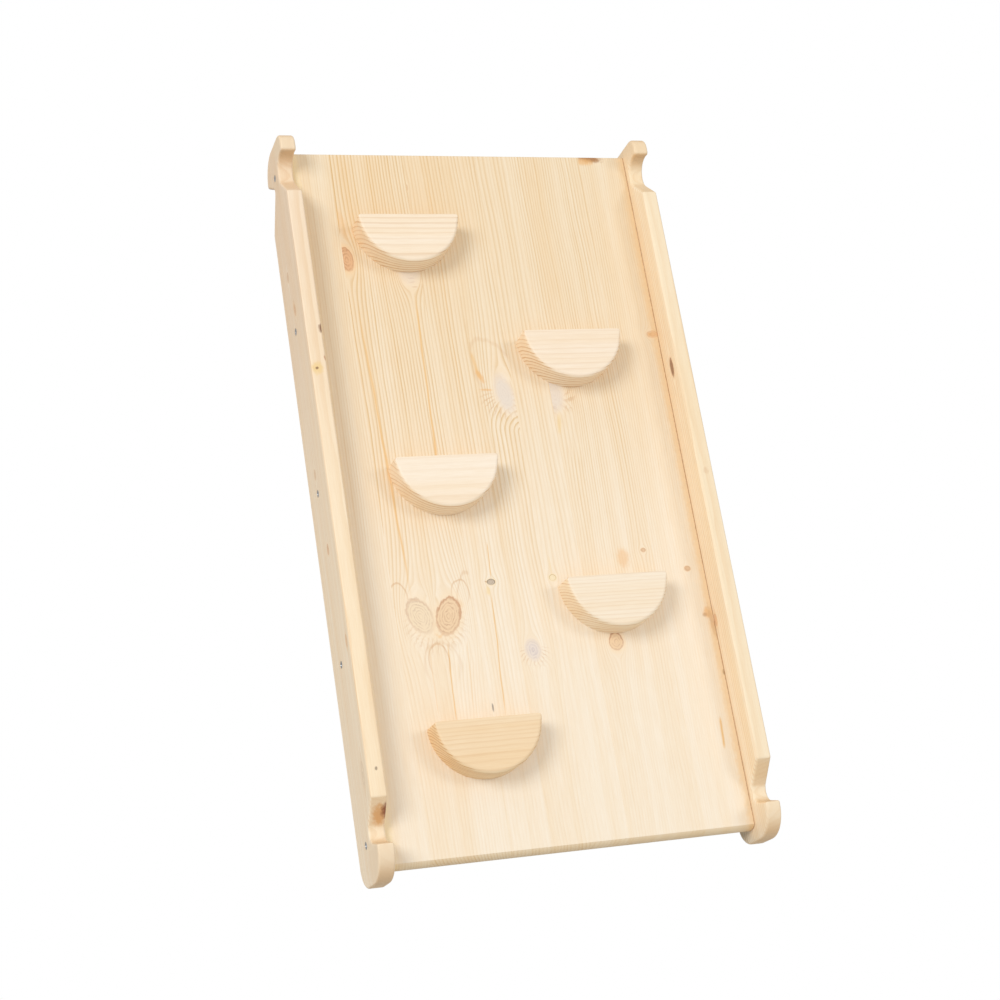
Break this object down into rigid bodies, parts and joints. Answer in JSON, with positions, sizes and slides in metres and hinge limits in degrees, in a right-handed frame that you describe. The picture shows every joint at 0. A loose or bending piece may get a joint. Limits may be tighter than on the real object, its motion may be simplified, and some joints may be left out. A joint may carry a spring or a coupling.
{
  "type": "climbing ramp with wooden steps",
  "caption": "Flat softwood climbing ramp: edge-glued deck between side rails with rung hooks cut into their ends, and half-round steps staggered left and right on its face.",
  "frame": {"origin": "under the middle of the ramp, on the plane of the rails' back edges, with the ramp on its back", "axes": "+X across the ramp to the right as a climber faces it, +Y up the ramp to the round-hook end, +Z out of the deck on the climbing side"},
  "size_m": [0.45, 0.845, 0.08],
  "materials": {
    "rail_wood": "sanded pine with a thin clear matt oil, arrises well rounded",
    "deck_wood": "sanded knotty pine staves, edge-glued, thin clear matt oil",
    "step_wood": "sanded pine block, thin clear matt oil",
    "screw_steel": "bright zinc-plated steel"
  },
  "bodies": {
    "root": {"left_rail": "rail_wood", "right_rail": "rail_wood", "deck_stave_1": "deck_wood", "deck_stave_2": "deck_wood", "deck_stave_3": "deck_wood", "deck_stave_4": "deck_wood", "deck_stave_5": "deck_wood", "deck_stave_6": "deck_wood", "deck_stave_7": "deck_wood", "step_1": "step_wood", "step_2": "step_wood", "step_3": "step_wood", "step_4": "step_wood", "step_5": "step_wood", "left_rail_screws": "screw_steel", "right_rail_screws": "screw_steel", "step_1_screws": "screw_steel", "step_2_screws": "screw_steel", "step_3_screws": "screw_steel", "step_4_screws": "screw_steel", "step_5_screws": "screw_steel"}
  },
  "joints": []
}
